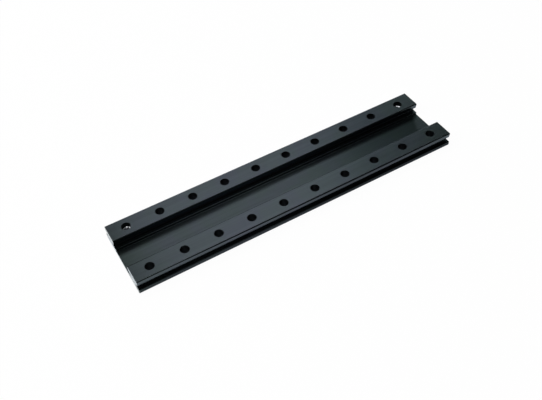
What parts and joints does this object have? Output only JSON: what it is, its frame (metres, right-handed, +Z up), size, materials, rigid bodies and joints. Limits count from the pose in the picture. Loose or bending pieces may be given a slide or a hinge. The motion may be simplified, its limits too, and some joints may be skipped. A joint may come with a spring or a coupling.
{
  "type": "sail track section",
  "caption": "Straight double-rail aluminium track with side grooves, a flat channel between the rails and a row of fixing holes along each rail.",
  "frame": {"origin": "on the underside, at the middle of the length and of the width", "axes": "+X along the track, +Y across it towards the rail with the two stopped holes, +Z up out of the underside"},
  "size_m": [0.25, 0.0556, 0.012],
  "materials": {
    "anodised_aluminium": "black anodised, satin, with bare sawn ends"
  },
  "bodies": {
    "root": {"track_section": "anodised_aluminium"}
  },
  "joints": []
}
